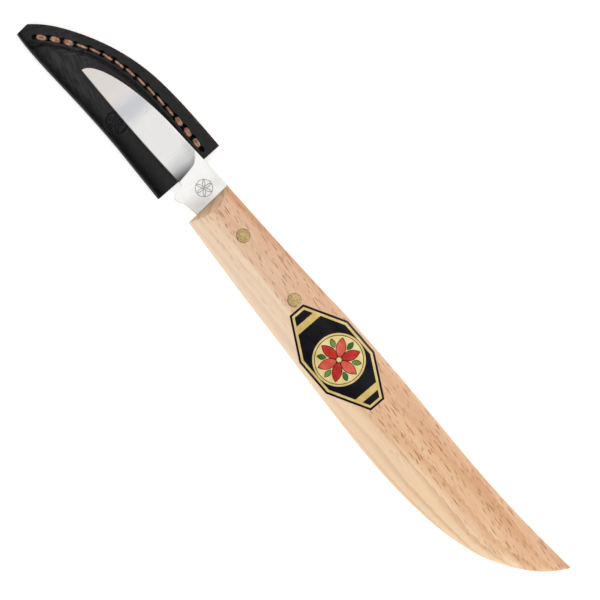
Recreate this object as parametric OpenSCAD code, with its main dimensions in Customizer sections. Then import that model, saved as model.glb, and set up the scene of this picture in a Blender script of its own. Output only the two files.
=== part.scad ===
// Chip carving knife lying on its side, with its leather sheath under the blade.
// X runs toward the butt of the handle, Y toward the back of the blade, Z up.
// Everything is laid out from the middle of the handle's front end, and place() then moves it so that
// the origin is the bottom centre of the whole set.

/* [Handle] */
// Length of the handle
handle_len = 143.7; // [138:0.1:150]
// Thickness of the handle at its fullest point
handle_thick = 14.5; // [13:0.1:16]
// Thickness of the handle at its front end
front_thick = 12.4; // [11.4:0.1:13]
// Thickness of the narrow edges at the front end, between the two sloped faces
front_land = 3; // [2.6:0.1:4]
// How far the sloped front faces run back at the ridge
front_slope = 2.7; // [1:0.1:4]

/* [Pins] */
// Diameter of the brass pins
pin_d = 4; // [3:0.1:4.5]
// Distance of the front pin from the handle's front end
pin_front_x = 13.3; // [11:0.1:15]
// Distance of the rear pin from the handle's front end
pin_rear_x = 36.2; // [34:0.1:38]

/* [Blade] */
// Thickness of the blade steel
blade_t = 2; // [1.6:0.1:2.4]
// Length of the blade in front of the handle
blade_len = 51.6; // [49:0.1:54]
// Half width of the blade along its back, above the tip
blade_rise = 7.6; // [7:0.1:8]
// Distance from the handle to the end of the cutting edge
edge_start = 10.2; // [9.6:0.1:11]
// Height of the ground face, from the edge up to where the flat steel begins
grind_h = 9.05; // [8.5:0.05:9.4]
// Thickness left at the cutting edge
edge_t = 0.2; // [0.1:0.05:0.4]
// Radius of the grinding wheel's run-out at the shoulder
plunge_r = 3; // [2:0.1:4]
// Length of the tang inside the handle
tang_len = 44; // [42:0.5:50]

/* [Label] */
// Length of the eight sided label
label_len = 34.8; // [30:0.1:38]
// Width of the label at its middle
label_w = 17.9; // [14:0.1:18]
// Thickness of the label
label_t = 0.15; // [0.1:0.05:0.25]

/* [Sheath] */
// Thickness of the leather
leather_t = 1.8; // [1.6:0.1:1.9]
// Height of the pocket inside the sheath
pocket_h = 2.3; // [2.1:0.1:2.4]
// Diameter of the stitch holes
hole_d = 1.3; // [1.1:0.1:1.5]
// Diameter of the sewing thread
thread_d = 0.8; // [0.6:0.05:0.9]

/* [Hidden] */
$fn = 48;

// Each curve is a list of knots [x, y, slope], joined smoothly by curve().
// Handle, seen from the side: back edge, belly edge, place of the ridge between them (0 is the back).
back_line = [[0, 7.5, -0.04], [28, 6.5, -0.03], [54, 5.85, -0.045], [82, 4.2, -0.078],
    [106, 2.4, -0.06], [128, 1.85, 0], [143.7, 2.2, 0.03]];
belly_line = [[0, -7.8, -0.14], [40, -12.75, -0.112], [76, -16.75, -0.1], [95, -17.7, 0.005],
    [118, -15.5, 0.225], [134, -8.5, 0.7], [143.7, 1.7, 1.7]];
ridge_line = [[0, 0.32, 0], [90, 0.38, 0.001], [132, 0.4, 0], [143.7, 0.5, 0.01]];
// Half thickness at the ridge and at the rounded edges, as shares of the fullest half thickness.
height_line = [[0, front_thick / handle_thick, 0.004], [66, 1, 0], [112, 0.93, -0.004],
    [136, 0.62, -0.022], [143.7, 0.16, -0.1]];
rim_line = [[0, 0.22, 0], [60, 0.26, 0], [120, 0.2, -0.002], [143.7, 0.1, -0.004]];
// Sharpness of the ridge toward the back edge: 1 is a crisp ridge, 2 a round one.
crown_line = [[0, 1.26, 0], [12, 1.3, 0.01], [50, 1.8, 0], [110, 1.8, 0], [136, 1.3, 0], [143.7, 1.3, 0]];

// Sheath: curved sewn edge, folded edge, and the line of the stitches.
sewn_line = [[-71.6, -1.6, 1.15], [-63.8, 4.8, 0.6], [-52.1, 10.4, 0.37], [-38.6, 13.7, 0.13],
    [-28, 14.2, 0], [-9, 13.4, -0.05]];
fold_line = [[-71.6, -5.8, -0.17], [-63.8, -6.6, -0.05], [-42, -7.1, -0.04], [-27, -7.9, -0.09],
    [-9, -9.5, -0.09]];
seam_line = [[-67.6, -2.7, 1], [-60.3, 2.8, 0.62], [-53.4, 6.7, 0.46], [-45.5, 9.15, 0.2],
    [-34, 10.35, 0], [-22, 9.95, -0.06], [-12.7, 9.2, -0.1]];

handle_steps = 36;
side_steps = 7;
sheath_steps = 20;
seam_steps = 120;
stitches = 15;
back_tacks = 3;
fit = 0.02;

blade_half = blade_t / 2;
handle_half = handle_thick / 2;
front_angle = atan(front_slope / (front_thick / 2 - front_land / 2));
tang_bottom_front = -4.6;
tang_bottom_rear = -6.4;
pin_front_y = 0.75;
pin_rear_y = -1.5;
label_x = 55.9;
label_y = -4.05;
label_tilt = -3.3;

tip = [-blade_len, 0.28];
heel = [-edge_start, -1.85];
edge_angle = atan2(heel[1] - tip[1], heel[0] - tip[0]);
grind_angle = atan((blade_half - edge_t / 2) / grind_h);
plunge_x = heel[0] - plunge_r * 0.62;
spine_x = -23.5;

sheath_half = leather_t + pocket_h / 2;
sheath_start = sewn_line[0][0];
sheath_end = sewn_line[5][0];
pocket_start = sheath_start + 5.6;
mouth_top = [-9.7, 13.5];
mouth_bottom = [-10.7, -8.85];
mouth_angle = atan((mouth_top[0] - mouth_bottom[0]) / (mouth_top[1] - mouth_bottom[1]));
crease_gap = 1.9;
crease_half = 0.8;

handle_scale = handle_len / 143.7;
stations = [for (i = [0:handle_steps]) handle_len * (1 - pow(1 - i / handle_steps, 1.5))];
belly_low = min([for (x = stations) belly(x)]);
sheath_x = [for (i = [0:sheath_steps]) station(i / sheath_steps)];
sheath_high = max([for (x = sheath_x) curve(sewn_line, x)]);
centre = [(sheath_start + handle_len) / 2, (belly_low + sheath_high) / 2];

// Smooth curve through knots, at x
function curve(knots, x, i = 0) =
    x <= knots[i + 1][0] || i == len(knots) - 2
    ? span(knots[i], knots[i + 1], x)
    : curve(knots, x, i + 1);

function span(a, b, x) =
    let (h = b[0] - a[0], t = (x - a[0]) / h)
    (1 - 3 * t * t + 2 * t * t * t) * a[1] + (t - 2 * t * t + t * t * t) * h * a[2]
    + (3 * t * t - 2 * t * t * t) * b[1] + (t * t * t - t * t) * h * b[2];

function slope(knots, x) = (curve(knots, x + 0.01) - curve(knots, x - 0.01)) / 0.02;

// Handle curves, stretched with the handle's length
function on_handle(knots, x) = curve(knots, x / handle_scale);
function back(x) = on_handle(back_line, x);
function belly(x) = on_handle(belly_line, x);
function ridge(x) = back(x) - on_handle(ridge_line, x) * (back(x) - belly(x));

// One cross section of the handle: a lens with its ridge nearer the back, and rounded edges
function handle_height(x, s, sharp, grow) =
    let (h = on_handle(height_line, x) * handle_half, rim = on_handle(rim_line, x) * handle_half)
    (h - min(rim, h * 0.8)) * (1 - pow(s, sharp)) + (min(rim, h * 0.8) + grow) * sqrt(max(0, 1 - pow(s, 10)));

function handle_point(x, t, grow) =
    let (s = sin(90 * abs(t)), r = ridge(x))
    t > 0
    ? [x, r + s * (back(x) + grow - r), handle_height(x, s, on_handle(crown_line, x), grow)]
    : [x, r - s * (r - belly(x) + grow), handle_height(x, s, 2, grow)];

function flip(p) = [p[0], p[1], -p[2]];

function handle_ring(x, grow) = concat(
    [for (i = [side_steps:-1:-side_steps]) handle_point(x, i / side_steps, grow)],
    [for (i = [1 - side_steps:side_steps - 1]) flip(handle_point(x, i / side_steps, grow))]);

// Solid through rings of equal size that follow one another along X
module skin(rings) {
    n = len(rings[0]);
    last = len(rings) - 1;
    walls = [for (i = [0:last - 1], j = [0:n - 1], half = [0, 1])
        let (a = i * n + j, b = i * n + (j + 1) % n)
        half == 0 ? [a, a + n, b] : [b, a + n, b + n]];
    first_cap = [for (j = [0:n - 1]) j];
    last_cap = [for (j = [n - 1:-1:0]) last * n + j];
    polyhedron([for (ring = rings) each ring], concat([first_cap], walls, [last_cap]));
}

module place(z) {
    translate([-centre[0], -centre[1], z]) children();
}

module blank(grow = 0) {
    skin([for (x = stations) handle_ring(x, grow)]);
}

module front_slopes() {
    for (side = [0, 1])
        mirror([0, 0, side])
            translate([0, 0, front_land / 2])
                rotate([0, front_angle, 0])
                    translate([-20, -20, 0])
                        cube([20, 40, 15]);
}

module tang_slot() {
    deep = tang_bottom_rear - fit;
    translate([0, 0, -blade_half - fit])
        linear_extrude(blade_t + 2 * fit)
            polygon([[-1, tang_bottom_front - fit], [0, tang_bottom_front - fit], [tang_len + fit, deep],
                [tang_len + fit, 15], [-1, 15]]);
}

module pin_bores(d) {
    translate([pin_front_x, pin_front_y, -handle_thick])
        cylinder(d = d, h = 2 * handle_thick);
    translate([pin_rear_x, pin_rear_y, -handle_thick])
        cylinder(d = d, h = 2 * handle_thick);
}

module handle() {
    color("burlywood")
        place(handle_half)
            difference() {
                blank();
                front_slopes();
                tang_slot();
                pin_bores(pin_d + 2 * fit);
            }
}

// A pin is cut off flush with the handle on both faces
module pin(x, y) {
    color("darkgoldenrod")
        place(handle_half)
            intersection() {
                translate([x, y, -handle_thick])
                    cylinder(d = pin_d, h = 2 * handle_thick);
                blank();
            }
}

module pin_front() {
    pin(pin_front_x, pin_front_y);
}

module pin_rear() {
    pin(pin_rear_x, pin_rear_y);
}

// Outline of the blade, the finger heel under its shoulder, and the tang
function edge_y(x) = curve([[tip[0], tip[1], -0.08], [heel[0], heel[1], -0.01]], x);

module blade_outline() {
    spine = [for (i = [0:18])
        [spine_x - (blade_len + spine_x) * cos(5 * i), tip[1] + blade_rise * sin(5 * i)]];
    tang_back = [for (x = [4:4:tang_len - 4]) [x, back(x) - 0.3]];
    tang_end = [[tang_len - 1, back(tang_len) - 1.6], [tang_len, back(tang_len) - 3.6],
        [tang_len, tang_bottom_rear + 2], [tang_len - 1.5, tang_bottom_rear + 0.4]];
    finger_heel = [[0, tang_bottom_front], [-2.6, -4.7], [-4.5, -5.05], [-5.6, -5.6], [-6.4, -5.95],
        [-7.3, -6], [-7.9, -5.6], [-8.5, -4.1], [-8.9, -2]];
    edge = [for (i = [0:9]) let (x = heel[0] + (tip[0] - heel[0]) * i / 10) [x, edge_y(x)]];
    polygon(concat(spine, [[0, back(0) - 0.05]], tang_back, tang_end, finger_heel, edge));
}

// Room taken by the grinding wheel: a plane through the edge, ending in a round run-out
module grind() {
    for (side = [0, 1])
        mirror([0, 0, side])
            translate([plunge_x, heel[1], edge_t / 2])
                rotate([0, 0, edge_angle])
                    rotate([grind_angle, 0, 0]) {
                        translate([-60, -10, 0])
                            cube([60, 30, 5]);
                        translate([0, 20, plunge_r])
                            rotate([90, 0, 0])
                                cylinder(r = plunge_r, h = 30, $fn = 96);
                    }
}

module blade() {
    color("silver")
        place(handle_half)
            difference() {
                translate([0, 0, -blade_half])
                    linear_extrude(blade_t)
                        blade_outline();
                grind();
                pin_bores(pin_d + 2 * fit);
            }
}

// Label: an eight sided sheet that follows the face of the handle
module label_outline() {
    long = label_len / 2;
    wide = label_w / 2;
    end = label_w * 0.14;
    flat = label_len * 0.164;
    translate([label_x, label_y])
        rotate(label_tilt)
            polygon([[-long, -end], [-flat, -wide], [flat, -wide], [long, -end],
                [long, end], [flat, wide], [-flat, wide], [-long, end]]);
}

// The upper face of the handle under the label, grown by the thickness of the label
module label_bed(grow) {
    skin([for (x = stations) if (abs(x - label_x) < label_len * 0.62)
        [for (i = [side_steps:-1:-side_steps]) handle_point(x, i / side_steps, grow)]]);
}

module label() {
    color("black")
        place(handle_half)
            difference() {
                intersection() {
                    translate([0, 0, 1])
                        linear_extrude(handle_thick)
                            label_outline();
                    label_bed(label_t);
                }
                label_bed(0);
            }
}

// Stations along the sheath, closer together at its tip end
function station(t) = sheath_start + (sheath_end - sheath_start) * pow(t, 1.3);

function full(x) = curve([[-71.6, leather_t, 0], [-68.5, leather_t, 0], [-63, sheath_half, 0],
    [-9, sheath_half, 0]], x);

function seam(x) = curve(seam_line, x);

// The crease where the two layers meet runs beside the stitches
function crease(x) =
    max(seam(x) - crease_gap * sqrt(1 + pow(slope(seam_line, x), 2)),
        curve(fold_line, x) + full(x) + crease_half + 0.1);

function ease(t) = t * t * (3 - 2 * t);

// Smooth rise from the height low on the flange to the height high over the pocket
function crease_rise(x, low, high) =
    [for (t = [0, 0.33, 0.67, 1]) [x, crease(x) + crease_half * (1 - 2 * t), low + (high - low) * ease(t)]];

// Round of the fold, from its flat top down to its outermost line
function fold_round(x, y, h, steps) =
    [for (i = [steps:-1:1]) let (a = 90 * i / steps) [x, y + h * (1 - cos(a)), h * sin(a)]];

// The lower half of a ring mirrors the upper half
function closed_ring(upper, fold_point) =
    concat(upper, [fold_point], [for (i = [len(upper) - 1:-1:0]) flip(upper[i])]);

function sheath_ring(x) =
    let (h = full(x), y = curve(fold_line, x), top = curve(sewn_line, x), bevel = 0.3)
    closed_ring(concat([[x, top, leather_t - bevel], [x, top - bevel, leather_t]],
        crease_rise(x, leather_t, h), fold_round(x, y, h, 4)), [x, y, 0]);

function pocket_ring(x) =
    let (h = full(x) - leather_t + fit, y = curve(fold_line, x) + leather_t)
    closed_ring(concat(crease_rise(x, fit / 2, h), fold_round(x, y, h, 3)), [x, y, 0]);

module mouth_cut() {
    translate([mouth_top[0], mouth_top[1], -10])
        rotate([0, 0, -mouth_angle])
            translate([0, -40, 0])
                cube([10, 60, 20]);
}

// Holes at even steps along the seam
seam_start = seam_line[0][0];
seam_end = seam_line[6][0];
seam_dots = [for (i = [0:seam_steps])
    let (x = seam_start + (seam_end - seam_start) * i / seam_steps) [x, seam(x)]];
seam_table = [for (i = 0, run = 0; i <= seam_steps;
    i = i + 1, run = i > seam_steps ? run : run + norm(seam_dots[i] - seam_dots[i - 1]))
    [run, seam_dots[i][0]]];
seam_len = seam_table[seam_steps][0];
holes = [for (i = [0:stitches]) let (x = lookup(i * seam_len / stitches, seam_table)) [x, seam(x)]];

module sheath_leather() {
    color("#2d2a2c")
        place(sheath_half)
            difference() {
                skin([for (x = sheath_x) sheath_ring(x)]);
                skin([for (x = [pocket_start:4:sheath_end + 2]) pocket_ring(x)]);
                mouth_cut();
                for (hole = holes)
                    translate([hole[0], hole[1], -5])
                        cylinder(d = hole_d, h = 10);
            }
}

// One stitch lies on the leather between two holes; the end stitches are sewn twice and so are wider
module stitch(a, b, width) {
    along = b - a;
    translate([a[0], a[1], leather_t + fit])
        rotate([0, 0, atan2(along[1], along[0])])
            translate([0, -width / 2, 0])
                cube([norm(along), width, thread_d]);
}

module seam_thread() {
    for (hole = holes)
        translate([hole[0], hole[1], 2 * fit])
            cylinder(d = thread_d, h = leather_t + thread_d / 2);
    for (i = [0:stitches - 1]) {
        doubled = i < back_tacks || i >= stitches - back_tacks;
        stitch(holes[i], holes[i + 1], doubled ? 2 * thread_d : thread_d * 0.9);
    }
}

module needle_thread() {
    color("tan")
        place(sheath_half)
            seam_thread();
}

module bobbin_thread() {
    color("tan")
        place(sheath_half)
            mirror([0, 0, 1])
                seam_thread();
}

blade();
handle();
pin_front();
pin_rear();
label();
sheath_leather();
needle_thread();
bobbin_thread();
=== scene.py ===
"""Looks of a chip carving knife and its leather sheath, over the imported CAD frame.

Shapes are laid out in millimetres from the middle of the handle's front end: x toward the butt, y toward
the back of the blade, z up from the middle of the knife or of the sheath. put() gives the row frame.
"""

import math

import bmesh
import bpy
import numpy as np
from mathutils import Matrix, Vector
from mathutils.geometry import delaunay_2d_cdt


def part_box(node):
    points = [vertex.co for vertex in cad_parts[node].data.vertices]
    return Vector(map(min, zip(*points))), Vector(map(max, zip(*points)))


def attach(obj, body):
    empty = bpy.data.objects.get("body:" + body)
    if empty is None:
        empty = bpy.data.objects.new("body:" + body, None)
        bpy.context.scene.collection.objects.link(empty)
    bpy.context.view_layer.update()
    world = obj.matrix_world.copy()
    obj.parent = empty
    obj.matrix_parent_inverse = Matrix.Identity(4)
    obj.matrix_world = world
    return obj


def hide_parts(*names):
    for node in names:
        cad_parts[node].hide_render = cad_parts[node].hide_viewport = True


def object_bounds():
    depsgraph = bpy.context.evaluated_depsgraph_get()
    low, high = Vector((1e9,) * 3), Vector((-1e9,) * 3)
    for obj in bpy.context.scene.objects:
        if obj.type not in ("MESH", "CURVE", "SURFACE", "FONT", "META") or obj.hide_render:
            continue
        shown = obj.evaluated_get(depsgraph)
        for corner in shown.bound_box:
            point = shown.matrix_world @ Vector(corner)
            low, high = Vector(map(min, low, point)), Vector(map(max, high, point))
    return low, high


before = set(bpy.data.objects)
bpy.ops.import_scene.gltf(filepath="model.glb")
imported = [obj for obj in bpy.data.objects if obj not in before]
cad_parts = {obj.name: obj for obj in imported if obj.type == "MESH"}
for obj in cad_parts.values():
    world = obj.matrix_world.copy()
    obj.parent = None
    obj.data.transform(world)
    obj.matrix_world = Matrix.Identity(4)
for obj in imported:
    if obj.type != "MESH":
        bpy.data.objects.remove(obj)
cad_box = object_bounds()

# ---- sizes, in millimetres

HANDLE_LEN = 143.7
HANDLE_HALF = 7.25
FRONT_LAND = 1.5
FRONT_RUN = 2.7 / (6.2 - FRONT_LAND)
FRONT_ROUND = 0.3
SLOT_HALF = 1.02
SLOT_OUTLINE = [(-1, -4.62), (0, -4.62), (44.02, -6.42), (44.02, 15), (-1, 15)]

PIN_RADIUS = 2.0
PIN_PLAY = 0.02
BORE_REACH = 9
PIN_RIM = [(0, 0), (0.5, 0), (1.0, 0), (1.4, 0), (1.7, 0), (1.86, 0.01), (1.95, 0.04), (2.0, 0.1)]
PIN_PROUD = 0.015
PIN_PLACES = {"pin_front": (13.3, 0.75), "pin_rear": (36.2, -1.5)}

BLADE_LEN = 51.6
STEEL_HALF = 1.0
TIP_Y = 0.28
SPINE_X = -23.5
SPINE_RISE = 7.6
HEEL_X = -10.2
TANG_LEN = 44.0
TANG_LOW = -4.6
TANG_TAPER = 1.8
TANG_ROUND = 3
SHOULDER_Y = 7.45
ROUND_OVER = 0.14
PLUNGE_RADIUS = 7.0

LABEL_PLACE = (55.9, -4.05)
LABEL_TURN = math.radians(-3.3)
LABEL_HALF_LEN = 17.4
LABEL_HALF_WIDE = 8.95
LABEL_FLAT = 5.7
LABEL_END = 2.5
LABEL_THICK = 0.13
LABEL_SUNK = 0.02
LINE_INSET = 0.62
FIELD_INSET = 1.3
MEDALLION = (0.87, 0.0)
BARS = [(-13.8, -11.8), (12.3, 14.2)]
PETALS = 6
# The label's inks, as fresh colour, worn colour and roughness.
INKS = {"line": ((12, 12, 14), (22, 21, 24), 0.38), "field": ((12, 12, 17), (22, 22, 28), 0.38),
        "gold": ((218, 190, 122), (236, 212, 150), 0.3), "bar": ((214, 182, 108), (232, 204, 134), 0.38),
        "sun": ((232, 206, 134), (244, 228, 172), 0.38), "red": ((186, 40, 38), (206, 62, 52), 0.38),
        "rose": ((214, 84, 68), (226, 112, 92), 0.38), "green": ((58, 96, 50), (82, 120, 62), 0.38),
        "moss": ((104, 136, 66), (132, 158, 84), 0.38)}

LEATHER = 1.8
SHEATH_TIP = -71.6
SHEATH_MOUTH = -10.2
MOUTH_LEAN = 0.0447
FOLD_ROUND = 5.4
FLAT_BY_SEAM = 0.95
CREASE_IN = 1.9
CREASE_HALF = 0.8
WRINKLE = [(-64.9, -3.3), (-61.2, 0.3), (-57.2, 2.3), (-55.4, 4.7)]
PRESSED_PLACE = (-34.4, -2.9)
PRESSED_RADIUS = 3.1
STITCHES = 15
BACK_TACKS = 3
HOLE_HALF = (0.98, 0.76)
LAST_HOLE = 0.72
THREAD_RADIUS = 0.37
STITCH_SLANT = -0.06
STRAND_TURNS = 1.1
# The cut edge of one thickness of leather, as [distance in from the outline, height].
CUT_EDGE = [[0.14, 0.05], [0.03, 0.18], [0, 0.4], [0, 0.75], [0, 1.05],
            [0.02, 1.3], [0.08, 1.5], [0.18, 1.64], [0.31, 1.74], [0.46, 1.79]]

# Knots [x, y, slope] of the curves that the CAD part is drawn with.
BACK = [[0, 7.5, -0.04], [28, 6.5, -0.03], [54, 5.85, -0.045], [82, 4.2, -0.078],
        [106, 2.4, -0.06], [128, 1.85, 0], [143.7, 2.2, 0.03]]
BELLY = [[0, -7.8, -0.14], [40, -12.75, -0.112], [76, -16.75, -0.1], [95, -17.7, 0.005],
         [118, -15.5, 0.225], [134, -8.5, 0.7], [143.7, 1.7, 1.7]]
RIDGE = [[0, 0.32, 0], [90, 0.38, 0.001], [132, 0.4, 0], [143.7, 0.5, 0.01]]
HEIGHT = [[0, 6.2 / 7.25, 0.004], [66, 1, 0], [112, 0.93, -0.004], [136, 0.62, -0.022], [143.7, 0.16, -0.1]]
RIM = [[0, 0.22, 0], [60, 0.26, 0], [120, 0.2, -0.002], [143.7, 0.1, -0.004]]
CROWN = [[0, 1.26, 0], [12, 1.3, 0.01], [50, 1.8, 0], [110, 1.8, 0], [136, 1.3, 0], [143.7, 1.3, 0]]
EDGE = [[-51.6, 0.28, -0.08], [-10.2, -1.85, -0.01]]
PLUNGE = [[0, -9.95, -0.1], [5.8, -10.6, -0.2], [8.3, -12, -0.9], [9.3, -13.4, -1.6]]
FINGER_HEEL = [(-10.2, -1.85), (-8.95, -2), (-8.6, -3.2), (-8.4, -4.6), (-8.05, -5.6), (-7.4, -6),
               (-6.5, -5.95), (-5.6, -5.6), (-4.5, -5.05), (-2.6, -4.72), (0, -4.6)]
SEWN = [[-71.6, -1.6, 1.15], [-63.8, 4.8, 0.6], [-52.1, 10.4, 0.37], [-38.6, 13.7, 0.13],
        [-28, 14.2, 0], [-9, 13.4, -0.05]]
FOLD = [[-71.6, -5.8, -0.17], [-63.8, -6.6, -0.05], [-42, -7.1, -0.04], [-27, -7.9, -0.09],
        [-9, -9.5, -0.09]]
SEAM = [[-67.6, -2.7, 1], [-60.3, 2.8, 0.62], [-53.4, 6.7, 0.46], [-45.5, 9.15, 0.2],
        [-34, 10.35, 0], [-22, 9.95, -0.06], [-12.7, 9.2, -0.1]]
PUFF = [[-71.6, 1.8, 0], [-68.5, 1.8, 0], [-63, 2.95, 0], [-9, 2.95, 0]]


def curve(knots, x):
    """Smooth curve through knots, at each x."""
    table = np.array(knots, float)
    x = np.asarray(x, float)
    i = np.clip(np.searchsorted(table[:, 0], x, side="right") - 1, 0, len(table) - 2)
    (x0, y0, s0), (x1, y1, s1) = table[i].T, table[i + 1].T
    h = (x1 - x0).T
    t = (x - x0.T) / h
    start = (1 - 3 * t**2 + 2 * t**3) * y0.T + (t - 2 * t**2 + t**3) * h * s0.T
    return start + (3 * t**2 - 2 * t**3) * y1.T + (t**3 - t**2) * h * s1.T


def ease(t):
    t = np.clip(t, 0, 1)
    return t * t * (3 - 2 * t)


def origin():
    """The row-frame place of the layout's zero point, on the middle of the knife and of the sheath."""
    handle_low, handle_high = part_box("handle")
    sheath_low, sheath_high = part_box("sheath_leather")
    belly_low = curve(BELLY, np.linspace(80, 100, 400)).min() / 1000
    knife = np.array([handle_low.x, handle_low.y - belly_low, (handle_low.z + handle_high.z) / 2])
    sheath = np.array([knife[0], knife[1], (sheath_low.z + sheath_high.z) / 2])
    return {"knife": knife, "sheath": sheath}


ORIGIN = origin()


def put(points, body):
    return np.asarray(points, float) / 1000 + ORIGIN[body]


# ---- mesh helpers

def in_scene(name, data):
    """A new object that holds the data, linked into the scene."""
    item = bpy.data.objects.new(name, data)
    bpy.context.scene.collection.objects.link(item)
    return item


def new_piece(name, points, faces, body, materials=(), picks=None, smooth=True):
    """A mesh object from layout points, welded where they meet; picks gives each face's material."""
    mesh = bpy.data.meshes.new(name)
    mesh.from_pydata(put(points, body).tolist(), [], faces)
    for material in materials:
        mesh.materials.append(material)
    if picks:
        mesh.polygons.foreach_set("material_index", picks)
    shape = bmesh.new()
    shape.from_mesh(mesh)
    bmesh.ops.remove_doubles(shape, verts=shape.verts, dist=2e-7)
    bmesh.ops.dissolve_degenerate(shape, edges=shape.edges, dist=1e-7)
    bmesh.ops.recalc_face_normals(shape, faces=shape.faces)
    shape.to_mesh(mesh)
    shape.free()
    if smooth:
        mesh.shade_smooth()
    return in_scene(name, mesh)


def grid_faces(rows, columns, wrap=False, start=0):
    """Quads over a rows x columns grid of points, closed around the columns if wrap is true."""
    faces = []
    for i in range(rows - 1):
        for j in range(columns if wrap else columns - 1):
            k = (j + 1) % columns
            faces.append((start + i * columns + j, start + i * columns + k,
                          start + (i + 1) * columns + k, start + (i + 1) * columns + j))
    return faces


def solid_faces(rings, start=0, both=False):
    """Quads around a row of rings, with a face over the last ring, and over the first too if both."""
    count, around = rings.shape[:2]
    ends = [(count - 1) * around] + [0] * both
    caps = [tuple(range(start + end, start + end + around)) for end in ends]
    return grid_faces(count, around, wrap=True, start=start) + caps


def crisp(piece, degrees):
    piece.data.set_sharp_from_angle(angle=math.radians(degrees))
    return piece


def cut(piece, tools):
    """Cuts the tools out of the piece and removes them."""
    for tool in tools:
        modifier = piece.modifiers.new("cut", "BOOLEAN")
        modifier.operation = "DIFFERENCE"
        modifier.solver = "EXACT"
        modifier.object = tool
    evaluated = piece.evaluated_get(bpy.context.evaluated_depsgraph_get())
    mesh = bpy.data.meshes.new_from_object(evaluated)
    piece.modifiers.clear()
    piece.data = mesh
    for tool in tools:
        bpy.data.objects.remove(tool)
    return piece


def prism(name, outline, reach):
    """A straight solid over an outline, as far below the knife's middle plane as above it."""
    n = len(outline)
    points = [(x, y, z) for z in (-reach, reach) for x, y in outline]
    sides = [(i, (i + 1) % n, n + (i + 1) % n, n + i) for i in range(n)]
    return new_piece(name, points, sides + [tuple(range(n)), tuple(range(n, 2 * n))], "knife", smooth=False)


def pin_bores():
    """Solids that fill the pin holes, to cut out of a piece."""
    return [prism(name + "_tool", circle(place, PIN_RADIUS + PIN_PLAY, 64), BORE_REACH)
            for name, place in PIN_PLACES.items()]


def circle(centre, radius, count):
    turns = np.linspace(0, 2 * math.pi, count, endpoint=False)
    return [(centre[0] + radius * math.cos(a), centre[1] + radius * math.sin(a)) for a in turns]


def middle(points, face):
    return sum((Vector(points[i]) for i in face), Vector((0, 0))) / len(face)


def is_inside(point, loop):
    """True if the point lies in the loop, by counting crossings."""
    x, y = point[0], point[1]
    crossings = False
    for (x0, y0), (x1, y1) in zip(loop, loop[1:] + loop[:1]):
        if (y0 > y) != (y1 > y) and x < x0 + (y - y0) * (x1 - x0) / (y1 - y0):
            crossings = not crossings
    return crossings


# ---- node helpers

def linear(red, green, blue):
    """A colour given as 0 to 255, as the linear colour that shaders use."""
    share = np.array([red, green, blue]) / 255
    low = share / 12.92
    high = ((share + 0.055) / 1.055) ** 2.4
    return (*np.where(share <= 0.04045, low, high).tolist(), 1.0)


def add_node(tree, kind, inputs=None, **properties):
    """A new node with its properties set, and each input linked or given its value."""
    node = tree.nodes.new(kind)
    for key, value in properties.items():
        setattr(node, key, value)
    for key, value in (inputs or {}).items():
        if isinstance(value, bpy.types.NodeSocket):
            tree.links.new(value, node.inputs[key])
        else:
            node.inputs[key].default_value = value
    return node


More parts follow.
